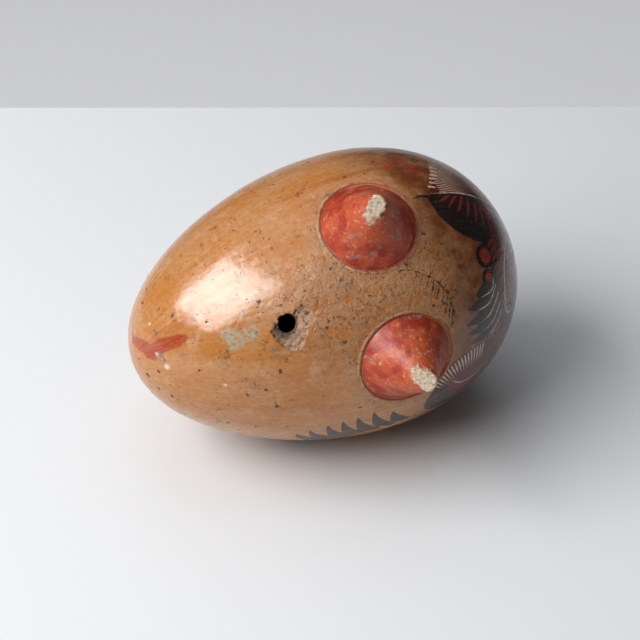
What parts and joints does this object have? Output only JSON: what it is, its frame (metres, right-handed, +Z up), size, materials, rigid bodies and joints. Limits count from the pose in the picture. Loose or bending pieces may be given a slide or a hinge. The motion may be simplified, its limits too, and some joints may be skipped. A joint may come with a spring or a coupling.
{
  "type": "ocarina",
  "caption": "Egg-shaped clay vessel flute, hollow, with a thumb hole between its narrow end and two conical feet, finger holes and a flat duct mouthpiece behind, lying on its flank.",
  "frame": {"origin": "on the floor that it lies on, under the middle of its box", "axes": "+X along the egg's long axis, from the narrow end to the blunt end, which stands 4.5 degrees higher; +Z up; the belly faces -Y and 36 degrees up, and the mouthpiece lies along +Y"},
  "size_m": [0.1598, 0.1559, 0.1284],
  "materials": {
    "ochre_slip": "burnished",
    "red_slip": "burnished, worn",
    "luting_clay": "satin",
    "raw_clay": "matt"
  },
  "bodies": {
    "root": {"belly_shell": "ochre_slip", "back_shell": "ochre_slip", "seam_coil": "raw_clay", "right_foot": "red_slip", "left_foot": "red_slip", "right_foot_rim": "luting_clay", "left_foot_rim": "luting_clay", "mouthpiece_upper_slab": "ochre_slip", "mouthpiece_lower_slab": "ochre_slip", "mouthpiece_rim": "luting_clay"}
  },
  "joints": []
}
